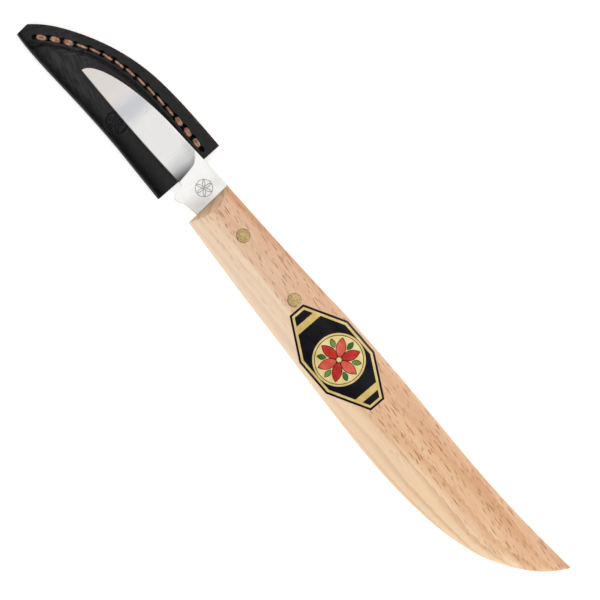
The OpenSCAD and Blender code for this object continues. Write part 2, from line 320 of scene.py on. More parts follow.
class Paint:
    """A node material under construction: its Principled shader and short calls that add nodes."""

    def __init__(self, name, **settings):
        self.material = bpy.data.materials.new(name)
        self.material.use_nodes = True
        self.tree = self.material.node_tree
        self.shader = self.tree.nodes["Principled BSDF"]
        for key, value in settings.items():
            self.shader.inputs[key.replace("_", " ").title().replace("Ior", "IOR")].default_value = value
        self.place = self.add("ShaderNodeTexCoord").outputs["Object"]

    def add(self, kind, inputs=None, **properties):
        return add_node(self.tree, kind, inputs, **properties)

    def drive(self, name, socket):
        self.tree.links.new(socket, self.shader.inputs[name])

    def math(self, operation, a, b=0.0):
        return self.add("ShaderNodeMath", {0: a, 1: b}, operation=operation).outputs[0]

    def plus(self, first, *others):
        for other in others:
            first = self.math("ADD", first, other)
        return first

    def times(self, first, *others):
        for other in others:
            first = self.math("MULTIPLY", first, other)
        return first

    def distance(self, axes, point):
        """How far object coordinates are from the point, along the axes that have a 1."""
        flat = self.add("ShaderNodeVectorMath", {0: self.place, 1: axes}, operation="MULTIPLY")
        inputs = {0: flat.outputs[0], 1: point}
        return self.add("ShaderNodeVectorMath", inputs, operation="DISTANCE").outputs["Value"]

    def stretched(self, sizes, turn):
        """Object coordinates in units of sizes (millimetres), turned by degrees about Z."""
        inputs = {"Vector": self.place, "Scale": [s / 1000 for s in sizes],
                  "Rotation": (0, 0, math.radians(turn))}
        return self.add("ShaderNodeMapping", inputs, vector_type="TEXTURE").outputs[0]

    def noise(self, sizes, turn, detail, roughness=0.5, distortion=0.0):
        inputs = {"Vector": self.stretched(sizes, turn), "Scale": 1.0, "Detail": detail,
                  "Roughness": roughness, "Distortion": distortion}
        return self.add("ShaderNodeTexNoise", inputs).outputs["Fac"]

    def cells(self, sizes, turn):
        inputs = {"Vector": self.stretched(sizes, turn), "Scale": 1.0}
        return self.add("ShaderNodeTexVoronoi", inputs)

    def span(self, value, low, high, to_low=0.0, to_high=1.0):
        """Smooth step of value from low..high to to_low..to_high."""
        inputs = {"Value": value, "From Min": low, "From Max": high, "To Min": to_low, "To Max": to_high}
        return self.add("ShaderNodeMapRange", inputs, interpolation_type="SMOOTHSTEP").outputs[0]

    def mix(self, factor, a, b):
        """Colour a at factor 0, b at 1; each is a socket or red, green and blue from 0 to 255."""
        a, b = (linear(*colour) if isinstance(colour, tuple) else colour for colour in (a, b))
        return self.add("ShaderNodeMix", {"Factor": factor, 6: a, 7: b}, data_type="RGBA").outputs[2]

    def over(self, body, *layers):
        """The body colour under layers, each a share and a colour."""
        for share, colour in layers:
            body = self.mix(share, body, colour)
        return body

    def axes(self, vector=None):
        return self.add("ShaderNodeSeparateXYZ", {0: vector or self.place}).outputs

    def bump(self, height, strength, distance, normal=None):
        inputs = {"Height": height, "Strength": strength, "Distance": distance / 1000}
        if normal:
            inputs["Normal"] = normal
        return self.add("ShaderNodeBump", inputs).outputs[0]

    def rosette(self, centre, radius, line):
        """1 on the lines of a compass rosette in plan, 0 off them."""
        half = line / 2000

        def ring_line(x, y):
            far = self.distance((1, 1, 0), (x / 1000, y / 1000, 0))
            off = self.math("ABSOLUTE", self.math("SUBTRACT", far, radius / 1000))
            return self.span(off, half, half / 0.7, 1.0, 0.0), far

        lines, far = ring_line(*centre)
        inside = self.math("LESS_THAN", far, radius / 1000)
        for k in range(PETALS):
            turn = math.radians(360 / PETALS * k + 20)
            ring, _ = ring_line(centre[0] + radius * math.cos(turn), centre[1] + radius * math.sin(turn))
            lines = self.math("MAXIMUM", lines, self.times(ring, inside))
        return lines


def row_xy(x, y):
    """Row-frame plan place, in millimetres, of a layout point."""
    return (x + ORIGIN["knife"][0] * 1000, y + ORIGIN["knife"][1] * 1000)


# ---- materials

# Ray flecks of the beech: cell length, width and depth in millimetres, turn in degrees, share left out.
FLECKS = [(7.2, 0.62, 7, -9, 0.3), (4.4, 0.5, 5, -12, 0.35), (3.0, 0.42, 4, -15, 0.5)]

# Middle of the tree beside the handle, and the width of one year's growth, in metres.
TREE_MIDDLE = (0, -0.034, -0.012)
YEAR = 0.0034

# Middle of the painted cool reflection band on the blade, in metres from the handle's front end.
COOL_REFLECTION_BAND = -0.0355


def bare_beech(paint, side, streaks, fine):
    """The wood's colour without growth lines: pale on the belly, pinkish and streaked toward the back, with
    painted shade along the back edge.
    """
    x, y, _ = paint.axes()
    rear = paint.span(x, -0.01, 0.06)
    pale = paint.mix(rear, (255, 228, 198), (254, 221, 183))
    pink = paint.mix(rear, (235, 195, 163), (240, 196, 154))
    # Painted shade on the back side: a warm darker tone toward the back edge, and a darker band on the back
    # edge near the front.
    back_edge_shade = paint.times(paint.span(y, 0.006, 0.0082, 0, 0.9), paint.span(x, 0.015, -0.005))
    coarse = paint.span(side, -0.0055, 0.0, 0.5, 1.0)
    return paint.over(
        pale, (paint.span(side, -0.0055, 0.0), pink),
        (paint.span(side, 0.002, 0.006, 0, 0.5), (226, 174, 136)),
        (back_edge_shade, (206, 148, 104)),
        (paint.times(paint.span(streaks, 0.42, 0.75, 0, 0.32), coarse), (214, 152, 106)),
        (paint.span(streaks, 0.5, 0.25, 0, 0.3), (246, 220, 190)),
        (paint.times(paint.span(fine, 0.48, 0.78, 0, 0.28), coarse), (190, 124, 82)))


def late_wood(paint, x):
    """1 in the dark end of each year's growth; the lines turn scalloped toward the butt."""
    wander = paint.times(paint.noise((55, 9, 9), 0, 1), 0.006)
    scallop = paint.times(paint.noise((1.7, 1.2, 1.7), 0, 1), paint.span(x, 0.03, 0.08, 0, 0.0011))
    radius = paint.distance((0, 1, 1), TREE_MIDDLE)
    field = paint.plus(radius, wander, scallop, paint.times(x, 0.03))
    ring = paint.math("FRACT", paint.math("DIVIDE", field, YEAR))
    return paint.times(paint.span(ring, 0.45, 0.97), paint.span(ring, 1.0, 0.97))


def ray_flecks(paint, side):
    """1 on the short slanting dashes of the wood's rays, in patches and mostly toward the back."""
    flecks = 0.0
    for length, width, deep, turn, share in FLECKS:
        cells = paint.cells((length, width, deep), turn)
        chance = paint.math("GREATER_THAN", paint.axes(cells.outputs["Color"])[0], share)
        dash = paint.times(paint.span(cells.outputs["Distance"], 0.14, 0.3, 1.0, 0.0), chance)
        flecks = paint.math("MAXIMUM", dash, flecks)
    patch = paint.span(paint.noise((16, 4, 6), -8, 1), 0.3, 0.5, 0.35, 1.0)
    return paint.times(flecks, paint.span(side, -0.007, -0.0005, 0.04, 1.0), patch)


def end_grain(paint, late):
    """Share and colour of the cut fibre ends, on the faces that look toward the blade."""
    facing = paint.axes(paint.add("ShaderNodeNewGeometry").outputs["Normal"])[0]
    pores = paint.noise((0.2, 0.2, 0.2), 0, 2)
    rings = paint.mix(late, (255, 218, 176), (244, 190, 144))
    rings = paint.mix(paint.span(pores, 0.5, 0.75, 0, 0.3), rings, (176, 128, 92))
    return paint.span(facing, -0.55, -0.75, 0, 0.9), rings


def beech():
    """Oiled beech with growth lines, slanting dark ray flecks, and end grain in front."""
    paint = Paint("beech_oiled", roughness=0.45, specular_ior_level=0.4)
    x, y, _ = paint.axes()
    wave = paint.times(paint.noise((45, 5, 6), -4, 2, 0.5, 0.3), 0.016)
    side = paint.plus(y, wave, paint.span(x, -0.04, 0.06, -0.0122, -0.0038))
    streaks = paint.noise((34, 0.42, 0.6), -6, 3, 0.6)
    fine = paint.noise((7, 0.12, 0.15), -8, 2, 0.65)
    late = late_wood(paint, x)
    flecks = ray_flecks(paint, side)
    body = paint.over(
        bare_beech(paint, side, streaks, fine),
        (paint.times(late, paint.span(x, 0.02, 0.08, 0.14, 0.4)), (208, 140, 86)),
        (paint.times(flecks, 0.82), (158, 92, 54)),
        end_grain(paint, late))
    paint.drive("Base Color", body)
    paint.drive("Roughness", paint.span(streaks, 0.2, 0.8, 0.4, 0.52))
    paint.drive("Normal", paint.bump(flecks, 0.6, -0.04, paint.bump(fine, 0.3, 0.03)))
    return paint.material


def steel_reflection_bands(paint, x):
    """Colour of the ground face: a painted cool reflection band across it, and a painted warm grey
    reflection from there to the tip.
    """
    along = paint.plus(x, paint.times(paint.noise((9, 12, 30), -14, 2, 0.5), 0.008), -0.004)
    # Painted reflections: a cool grey band across the ground face, and a warm grey from there to the tip.
    cool = paint.times(paint.span(along, -0.0295, COOL_REFLECTION_BAND), paint.span(along, -0.0405, COOL_REFLECTION_BAND), 0.9)
    body = paint.mix(cool, (229, 228, 226), (195, 197, 201))
    return paint.mix(paint.span(along, COOL_REFLECTION_BAND, -0.0415, 0, 0.85), body, (218, 211, 205))


def steel_shade_by_plunge(paint, x, y, body):
    """Painted shade of the hollow run-out in front of the plunge line and of the flat next to the wood, and
    the clouded flat behind the plunge line.
    """
    foot = paint.plus(paint.times(y, -0.1), paint.span(y, 0.0059, 0.01, -0.01, -0.0126))
    behind = paint.math("SUBTRACT", x, foot)
    # Painted shade: the hollow run-out in front of the plunge line is darkened.
    run_out_shade = paint.times(paint.span(behind, -0.0072, -0.0006), paint.math("LESS_THAN", behind, 0.0),
                          paint.span(y, 0.008, 0.0, 0.48, 0.8))
    cloud = paint.span(paint.noise((4, 3, 3), 20, 2), 0.35, 0.7, 0, 0.4)
    cloud = paint.times(cloud, paint.span(behind, 0.001, 0.008))
    # Painted shade: the flat is darkened next to the wood.
    near_wood_shade = paint.times(paint.span(behind, 0.0035, 0.0095, 0, 0.8), paint.span(y, 0.006, 0.0, 0.2, 1.0))
    return paint.over(
        body, (run_out_shade, (150, 151, 155)), (cloud, (196, 192, 188)), (near_wood_shade, (184, 180, 174)))


def steel(mark):
    """Belt ground steel: fine lines across the blade, painted reflection bands, painted shade at the plunge
    line and by the wood, and a fine etched rosette.
    """
    paint = Paint("steel_brushed", metallic=1.0, roughness=0.26)
    x, y, _ = paint.axes()
    x = paint.math("SUBTRACT", x, ORIGIN["knife"][0])
    lines = paint.noise((0.08, 9, 9), -6, 3, 0.6)
    scratch = paint.noise((0.22, 14, 9), -14, 2, 0.6)
    broken = paint.times(paint.rosette(mark, 2.45, 0.17), paint.noise((0.5, 0.5, 0.5), 0, 1))
    etched = paint.span(broken, 0.1, 0.5)
    body = paint.over(
        steel_shade_by_plunge(paint, x, y, steel_reflection_bands(paint, x)),
        (paint.span(lines, 0.4, 0.75, 0, 0.1), (160, 161, 164)),
        (paint.span(scratch, 0.62, 0.8, 0, 0.16), (140, 142, 148)),
        (paint.times(etched, 0.65), (92, 92, 94)))
    paint.drive("Base Color", body)
    paint.drive("Roughness", paint.plus(paint.span(lines, 0.25, 0.8, 0.2, 0.32), paint.times(etched, 0.25)))
    paint.drive("Normal", paint.bump(etched, 0.4, -0.02, paint.bump(lines, 0.12, 0.01)))
    return paint.material


def brass():
    """Dull brass with the grain of a sanded end."""
    paint = Paint("brass_sanded", metallic=0.85, roughness=0.45)
    grain = paint.cells((0.34, 0.3, 0.3), 20)
    mottled = paint.noise((0.55, 0.5, 0.5), 0, 3, 0.7)
    body = paint.over(
        (194, 162, 105), (paint.span(mottled, 0.35, 0.65), (240, 215, 160)),
        (paint.span(grain.outputs["Distance"], 0.3, 0.75, 0, 0.45), (132, 106, 60)))
    paint.drive("Base Color", body)
    paint.drive("Roughness", paint.span(mottled, 0.3, 0.7, 0.38, 0.58))
    paint.drive("Normal", paint.bump(mottled, 0.5, 0.05))
    return paint.material


def ink(name, colour, worn, roughness):
    """Printed ink on varnished paper, a little uneven, with the paper's tooth under the varnish."""
    paint = Paint(name, roughness=roughness, specular_ior_level=0.12)
    cloud = paint.noise((3.2, 2.4, 2.4), 0, 3, 0.6)
    tooth = paint.noise((0.12, 0.12, 0.12), 0, 2)
    paint.drive("Base Color", paint.mix(paint.span(cloud, 0.35, 0.7), colour, worn))
    paint.drive("Roughness", paint.span(tooth, 0.2, 0.8, roughness - 0.05, roughness + 0.08))
    paint.drive("Normal", paint.bump(tooth, 0.12, 0.01))
    return paint.material


def leather():
    """Black dyed leather: fine grain, a soft sheen, a painted sheen on the plateau by the tip, brown cut
    edges, and painted shade in the stitch holes, the pressed mark and the wrinkle.
    """
    paint = Paint("leather_black", roughness=0.4, specular_ior_level=0.29)
    x, y, _ = paint.axes()
    edge = paint.add("ShaderNodeAttribute", attribute_name="cut_edge").outputs["Fac"]
    # The pressed attribute marks the stitch holes, the pressed mark and the wrinkle, which are painted
    # darker as shade in these hollows.
    deep = paint.add("ShaderNodeAttribute", attribute_name="pressed").outputs["Fac"]
    tone = paint.noise((9, 5, 5), 15, 3, 0.6)
    pores = paint.cells((0.42, 0.36, 0.36), 30)
    wrinkles = paint.noise((1.4, 0.7, 0.7), 25, 3, 0.55, 0.6)
    streaks = paint.noise((3.6, 0.7, 0.9), -20, 3, 0.6, 0.4)
    # Painted sheen: a lighter, streaked band on the plateau by the tip.
    painted_sheen = paint.times(paint.span(x, -0.064, -0.084), paint.span(x, -0.104, -0.095),
                         paint.span(y, -0.0048, -0.0018), paint.span(y, 0.0085, 0.0045),
                         paint.span(streaks, 0.3, 0.7))
    fibres = paint.noise((1.1, 0.5, 0.25), 10, 3, 0.7)
    brown = paint.mix(paint.span(fibres, 0.35, 0.7), (40, 25, 22), (92, 56, 44))
    body = paint.over(
        (3, 2, 2), (paint.span(tone, 0.3, 0.7), (10, 6, 6)), (painted_sheen, (46, 44, 45)),
        (paint.times(edge, paint.span(tone, 0.35, 0.6, 0.3, 1.0)), brown),
        (paint.times(deep, 0.9), (8, 5, 5)))
    dull = paint.times(paint.math("MAXIMUM", edge, deep), 0.4)
    paint.drive("Base Color", body)
    paint.drive("Roughness", paint.plus(paint.span(wrinkles, 0.25, 0.75, 0.28, 0.46), dull))
    grain = paint.bump(wrinkles, 0.4, 0.1)
    paint.drive("Normal", paint.bump(pores.outputs["Distance"], 0.4, 0.05, grain))
    return paint.material


def thread():
    """Waxed tan thread."""
    paint = Paint("thread_waxed", roughness=0.55, sheen_weight=0.3, sheen_roughness=0.35)
    fibres = paint.noise((0.5, 0.07, 0.07), 40, 3, 0.7)
    tone = paint.noise((0.9, 0.9, 0.9), 0, 2)
    body = paint.over(
        (104, 64, 46), (paint.span(fibres, 0.32, 0.7), (206, 152, 120)),
        (paint.span(tone, 0.4, 0.68, 0, 0.5), (234, 188, 158)),
        (paint.span(tone, 0.5, 0.3, 0, 0.4), (120, 78, 58)))
    paint.drive("Base Color", body)
    paint.drive("Normal", paint.bump(fibres, 0.4, 0.03))
    return paint.material


def studio_floor():
    paint = Paint("floor_white", roughness=0.7, specular_ior_level=0.2, emission_strength=0.45,
                  emission_color=(1, 1, 1, 1))
    cloud = paint.noise((180, 180, 180), 0, 1)
    paint.drive("Base Color", paint.mix(cloud, (250, 250, 250), (253, 253, 253)))
    return paint.material


# ---- handle

def ridge_y(x):
    back, belly = curve(BACK, x), curve(BELLY, x)
    return back - curve(RIDGE, x) * (back - belly)


def handle_z(x, y):
    """Height of the handle's upper face, which falls from its ridge to a rounded rim on both sides."""
    x, y = np.broadcast_arrays(np.asarray(x, float), np.asarray(y, float))
    r = ridge_y(x)
    toward_back = y > r
    reach = np.where(toward_back, curve(BACK, x) - r, r - curve(BELLY, x))
    s = np.clip(np.abs(y - r) / reach, 0, 1)
    sharp = np.where(toward_back, curve(CROWN, x), 2.0)
    high = curve(HEIGHT, x) * HANDLE_HALF
    rim = np.minimum(curve(RIM, x) * HANDLE_HALF, high * 0.8)
    return (high - rim) * (1 - s**sharp) + rim * np.sqrt(1 - s**10)


def handle_ring(x, t, inset):
    """Points of a ring at x, which may differ along it; t runs from 1 at the back to -1 at the belly."""
    r = ridge_y(x)
    y = r + np.sin(np.pi / 2 * np.abs(t)) * (np.where(t > 0, curve(BACK, x), curve(BELLY, x)) - r)
    z = handle_z(x, y)
    dy, dz = np.gradient(y), np.gradient(z)
    dy[[0, -1]] = 0
    size = np.hypot(dy, dz)
    return y + inset * dz / size, z - inset * np.abs(dy) / size


def handle_rings():
    """Upper half rings from the sloped front faces, over their rounded edge, to the butt."""
    t = np.linspace(1, -1, 81)
    rings = []
    for phi in np.linspace(0, math.pi / 2, 5):
        inset, forward = FRONT_ROUND * (1 - math.sin(phi)), FRONT_ROUND * (1 - math.cos(phi))
        x = np.zeros_like(t)
        for _ in range(4):
            y, z = handle_ring(x, t, inset)
            x = np.maximum(0, z - FRONT_LAND) * FRONT_RUN + forward
        rings.append(np.stack([x, y, np.maximum(z, 0)], 1))
    start = rings[-1][:, 0]
    for share in np.linspace(0, 1, 220)[1:]:
        x = start + (HANDLE_LEN - start) * (1 - (1 - share) ** 1.7)
        y, z = handle_ring(x, t, 0)
        rings.append(np.stack([x, y, np.maximum(z, 0)], 1))
    return np.array(rings)


def handle_mesh(material):
    upper = handle_rings()
    lower = upper[:, -2:0:-1] * [1, 1, -1]
    rings = np.concatenate([upper, lower], 1)
    first = upper[0]
    land = np.stack([np.zeros(len(first)), first[:, 1], np.minimum(first[:, 2], FRONT_LAND)], 1)
    strip = np.stack([first, land, land * [1, 1, -1], first * [1, 1, -1]], 0)
    points = np.concatenate([rings.reshape(-1, 3), strip.reshape(-1, 3)])
    faces = solid_faces(rings) + grid_faces(4, len(first), start=rings.shape[0] * rings.shape[1])
    piece = new_piece("handle_beech", points, faces, "knife", [material])

    slot = prism("slot_tool", SLOT_OUTLINE, SLOT_HALF)
    return crisp(cut(piece, [slot] + pin_bores()), 32)


# ---- blade

def spine_y(x):
    """The blade's back: a quarter ellipse up from the tip, then a straight line to the handle."""
    bow = np.clip((x - SPINE_X) / (BLADE_LEN + SPINE_X), -1, 0)
    top = TIP_Y + SPINE_RISE
    return np.where(x > SPINE_X, top + (x - SPINE_X) * (SHOULDER_Y - top) / -SPINE_X,
                    TIP_Y + SPINE_RISE * np.sqrt(1 - bow**2))


def plunge_x(above_edge):
    return curve(PLUNGE, np.clip(above_edge, 0, PLUNGE[-1][0]))


def lean(x):
    """How far a column of points at x follows the plunge line: fully at its foot, less further off."""
    return np.where(x < PLUNGE[0][1], ease((x + 32) / 19), 1 - ease((x - PLUNGE[0][1]) / 9))


def blade_columns():
    """Columns of plan points from the lower to the upper outline, from the tip to the end of the tang."""
    ground = np.concatenate([-BLADE_LEN + (BLADE_LEN - 17) * np.linspace(0, 1, 120) ** 1.8,
                             np.linspace(-17, HEEL_X, 56)[1:]])
    lower = list(zip(ground, curve(EDGE, ground))) + smooth_path(FINGER_HEEL, 80)[1:]
    lips = ROUND_OVER * (1 - np.cos(np.linspace(0, math.pi / 2, 7)))
    inner = np.linspace(0, 1, 66)[1:-1]
    columns = []
    for x, y in lower:
        top = float(spine_y(x))
        for _ in range(8):
            top_x = x + float(lean(x) * (plunge_x(top - curve(EDGE, min(x, HEEL_X))) - plunge_x(0)))
            top = float(spine_y(min(top_x, 0)))
        columns.append(spread(y, top, lips, inner, x, float(lean(x))))
    straight = TANG_LEN - TANG_ROUND
    tang = np.concatenate([np.linspace(0, straight, 50)[1:],
                           straight + TANG_ROUND * np.sin(np.linspace(0.1, 1.57, 12))])
    past = np.clip(tang - straight, 0, TANG_ROUND)
    corner = TANG_ROUND - np.sqrt(np.maximum(TANG_ROUND**2 - past**2, 0))
    sunk = 0.05 + 0.25 * ease(tang / 3)
    lows = TANG_LOW - TANG_TAPER * tang / TANG_LEN + corner
    for x, low, high in zip(tang, lows, curve(BACK, tang) - sunk - corner):
        columns.append(spread(low, high, lips, inner, x, 0))
    return columns


def spread(low, high, lips, inner, at, follow):
    """Plan points of one column and their distances to its ends; follow is its share of the plunge line."""
    width = max(high - low, 1e-4)
    scale = min(1.0, width / 0.8)
    near, far = lips * scale, width - lips[::-1] * scale
    offset = np.concatenate([near, near[-1] + (far[0] - near[-1]) * inner, far])
    y = low + offset
    x = np.full_like(y, HEEL_X)
    for _ in range(4):
        x = at + follow * (plunge_x(y - curve(EDGE, np.minimum(x, HEEL_X))) - plunge_x(0))
    return x, y, offset, width - offset, scale


def smooth_path(knots, count):
    """Even points along a Catmull-Rom curve through knots."""
    p = np.array([knots[0], *knots, knots[-1]], float)
    fine = []
    for a, b, c, d in zip(p, p[1:], p[2:], p[3:]):
        for t in np.linspace(0, 1, 24, endpoint=False):
            square, cube = 2 * a - 5 * b + 4 * c - d, 3 * b - a - 3 * c + d
            fine.append(0.5 * (2 * b + (c - a) * t + square * t**2 + cube * t**3))
    fine = np.array(fine + [p[-1]])
    run = np.concatenate([[0], np.cumsum(np.hypot(*np.diff(fine, axis=0).T))])
    even = np.linspace(0, run[-1], count)
    return list(zip(np.interp(even, run, fine[:, 0]), np.interp(even, run, fine[:, 1])))


def steel_half(x, above_edge):
    """Half thickness of the steel: honed edge, ground face, hollow run-out at the plunge line, flat."""
    above = np.maximum(above_edge, 0)
    face = np.minimum(np.minimum(0.1 + above * 0.9 / 9.05, 0.03 + above * 0.5), STEEL_HALF)
    depth = STEEL_HALF - face
    reach = np.sqrt(2 * PLUNGE_RADIUS * depth - depth**2)
    into = np.clip(x - plunge_x(above) + reach, 0, reach)
    hollow = face + PLUNGE_RADIUS - np.sqrt(PLUNGE_RADIUS**2 - into**2)
    return np.where(x >= plunge_x(above) - 1e-6, STEEL_HALF, hollow)


def blade_mesh(material):
    rows = []
    for x, y, from_low, from_high, scale in blade_columns():
        z = steel_half(x, y - curve(EDGE, np.minimum(x, HEEL_X)))
        edge = np.minimum(from_high, np.where(x > HEEL_X + 0.3, from_low, 1.0))
        q = np.clip(1 - edge / (ROUND_OVER * scale), 0, 1)
        z = np.maximum(z - ROUND_OVER * scale * (1 - np.sqrt(1 - q**2)), 0.01)
        rows.append(np.stack([x, y, z], 1))
    upper_face = np.array(rows)
    rings = np.concatenate([upper_face, upper_face[:, ::-1] * [1, 1, -1]], 1)
    piece = new_piece("blade_steel", rings.reshape(-1, 3), solid_faces(rings), "knife", [material])
    return crisp(cut(piece, pin_bores()), 16)


# ---- pins and label

def pin_mesh(name, place, material):
    """A pin whose two ends follow the handle's faces, with a slightly broken rim."""
    radii, sink = np.array(PIN_RIM).T
    turns = np.linspace(0, 2 * math.pi, 64, endpoint=False)
    x = place[0] + np.outer(radii, np.cos(turns))
    y = place[1] + np.outer(radii, np.sin(turns))
    z = handle_z(x, y) - sink[:, None] + PIN_PROUD
    top = np.stack([x, y, z], 2)
    shell = np.concatenate([top, top[::-1] * [1, 1, -1]])
    faces = grid_faces(len(shell), len(turns), wrap=True)
    return crisp(new_piece(name, shell.reshape(-1, 3), faces, "knife", [material]), 40)


def octagon(inset):
    """The label's outline, with each side moved inward."""
    quarter = [(LABEL_HALF_LEN, LABEL_END), (LABEL_FLAT, LABEL_HALF_WIDE)]
    corners = quarter + [(-a, b) for a, b in reversed(quarter)]
    corners += [(-a, -b) for a, b in corners]
    lines = []
    for (ax, ay), (bx, by) in zip(corners, corners[1:] + corners[:1]):
        length = math.hypot(bx - ax, by - ay)
        nx, ny = (by - ay) / length, (ax - bx) / length
        lines.append((nx, ny, nx * ax + ny * ay - inset))
    moved = []
    for (a, b, c), (d, e, f) in zip(lines, lines[1:] + lines[:1]):
        det = a * e - b * d
        moved.append(((c * e - b * f) / det, (a * f - c * d) / det))
    return moved


def petal(length, width, start, turn, count=14):
    """A pointed petal from start to start + length, turned about the medallion's centre."""
    along = np.linspace(0, 1, count)
    half = width / 2 * np.sin(math.pi * along) ** 0.85
    side = [(start + length * a, h) for a, h in zip(along, half)]
    loop = side + [(a, -h) for a, h in reversed(side[1:-1])]
    c, s = math.cos(turn), math.sin(turn)
    return [(MEDALLION[0] + a * c - b * s, MEDALLION[1] + a * s + b * c) for a, b in loop]


def divided(loop, step):
    """The closed loop with no side longer than step."""
    fine = []
    for (ax, ay), (bx, by) in zip(loop, loop[1:] + loop[:1]):
        n = max(1, math.ceil(math.hypot(bx - ax, by - ay) / step))
        fine += [(ax + (bx - ax) * k / n, ay + (by - ay) * k / n) for k in range(n)]
    return fine


def bar_reach(x):
    """How far the printed field reaches across the label at a distance along it."""
    slope = (LABEL_HALF_WIDE - LABEL_END) / (LABEL_HALF_LEN - LABEL_FLAT)
    return LABEL_END + (LABEL_HALF_LEN - abs(x)) * slope - FIELD_INSET * math.hypot(1, slope)


def label_regions():
    """Closed shapes on the label, from the bottom layer up, as (ink, outline)."""
    regions = [("gold", octagon(LINE_INSET)), ("field", octagon(FIELD_INSET))]
    for near, far in BARS:
        corners = [(near, -1), (far, -1), (far, 1), (near, 1)]
        regions.append(("bar", [(a, b * bar_reach(a)) for a, b in corners]))
    regions.append(("gold", circle(MEDALLION, 7.5, 96)))
    regions.append(("line", circle(MEDALLION, 6.95, 96)))
    regions.append(("sun", circle(MEDALLION, 6.75, 96)))
    for k in range(PETALS):
        turn = math.radians(360 / PETALS * k + 10)
        regions.append(("line", petal(6.1, 3.0, 0.3, turn)))
        regions.append(("red" if k % 2 else "rose", petal(5.6, 2.6, 0.52, turn)))
        leaf = turn + math.radians(180 / PETALS)
        regions.append(("line", petal(2.9, 1.6, 3.5, leaf)))
        regions.append(("green" if k % 2 else "moss", petal(2.5, 1.25, 3.7, leaf)))
    regions.append(("line", circle(MEDALLION, 0.95, 28)))
    regions.append(("sun", circle(MEDALLION, 0.7, 28)))
    return regions


def label_inks():
    return {name: ink("ink_" + name, *looks) for name, looks in INKS.items()}


def label_plan(regions):
    """Points and faces of the flat label, cut along the outlines of its inks."""
    points, edges = [], []
    for loop in [octagon(0)] + [outline for _, outline in regions]:
        loop = divided(loop, 0.6)
        first = len(points)
        points += [Vector(p) for p in loop]
        edges += [(first + i, first + (i + 1) % len(loop)) for i in range(len(loop))]
    for a in np.arange(-17, 17.01, 0.8):
        points += [Vector((a, b)) for b in np.arange(-8.6, 8.61, 0.8) if is_inside((a, b), octagon(0.2))]
    points, _, faces = delaunay_2d_cdt(points, edges, [], 0, 1e-5)[:3]
    return points, list(faces)


def label_mesh(inks):
    """Printed paper that follows the handle's face, one material for each ink."""
    regions = label_regions()
    points, faces = label_plan(regions)
    names = list(inks)
    tops = []
    for face in faces:
        spot = middle(points, face)
        over = [name for name, outline in regions if is_inside(spot, outline)]
        tops.append(names.index(over[-1] if over else "line"))

    flat = np.array([tuple(p) for p in points])
    c, s = math.cos(LABEL_TURN), math.sin(LABEL_TURN)
    x = LABEL_PLACE[0] + flat[:, 0] * c - flat[:, 1] * s
    y = LABEL_PLACE[1] + flat[:, 0] * s + flat[:, 1] * c
    high = handle_z(x, y)
    upper = np.stack([x, y, high + LABEL_THICK], 1)
    lower = np.stack([x, y, high - LABEL_SUNK], 1)
    n = len(flat)
    ways = {(a, b) for face in faces for a, b in zip(face, list(face[1:]) + [face[0]])}
    sides = [(a, b, n + b, n + a) for a, b in sorted(ways) if (b, a) not in ways]
    under = [tuple(n + i for i in reversed(face)) for face in faces]
    paper = [names.index("bar")] * (len(under) + len(sides))
    piece = new_piece("label_print", np.concatenate([upper, lower]), faces + under + sides, "knife",
                      inks.values(), tops + paper)
    return crisp(piece, 40)


# ---- sheath

def seam_places(count):
    """Even places along the seam, as (x, y, direction)."""
    x = np.linspace(SEAM[0][0], SEAM[-1][0], 3000)
    y = curve(SEAM, x)
    run = np.concatenate([[0], np.cumsum(np.hypot(np.diff(x), np.diff(y)))])
    even = np.linspace(0, run[-1], count)
    sx, sy = np.interp(even, run, x), np.interp(even, run, y)
    slope = np.interp(even, run, np.gradient(y, x))
    return np.stack([sx, sy, np.arctan(slope)], 1)


def nearest(x, y, line):
    """Distance from each place to the nearest of the points of a line."""
    best = np.full(x.shape, 1e9)
    for px, py, *_ in line:
        best = np.minimum(best, np.hypot(x - px, y - py))
    return best


def nearest_slit(x, y, holes):
    """Distance to the nearest stitch hole, as a share of its size; the holes are slits along the seam."""
    best = np.full(x.shape, 99.0)
    last = len(holes) - 1
    for i, (hx, hy, turn) in enumerate(holes):
        size = LAST_HOLE if i in (0, last) else 1.0
        along = (x - hx) * math.cos(turn) + (y - hy) * math.sin(turn)
        across = (y - hy) * math.cos(turn) - (x - hx) * math.sin(turn)
        best = np.minimum(best, np.hypot(along / HOLE_HALF[0], across / HOLE_HALF[1]) / size)
    return best


def pressed_mark(x, y):
    """Depth share of a compass rosette in a ring, pressed into the leather."""
    (cx, cy), radius = PRESSED_PLACE, PRESSED_RADIUS
    distance = np.hypot(x - cx, y - cy)
    lines = np.abs(distance - radius)
    for k in range(PETALS):
        turn = math.radians(360 / PETALS * k + 15)
        off = np.hypot(x - cx - radius * math.cos(turn), y - cy - radius * math.sin(turn)) - radius
        lines = np.where(distance < radius, np.minimum(lines, np.abs(off)), lines)
    return 1 - ease(lines / 0.34)


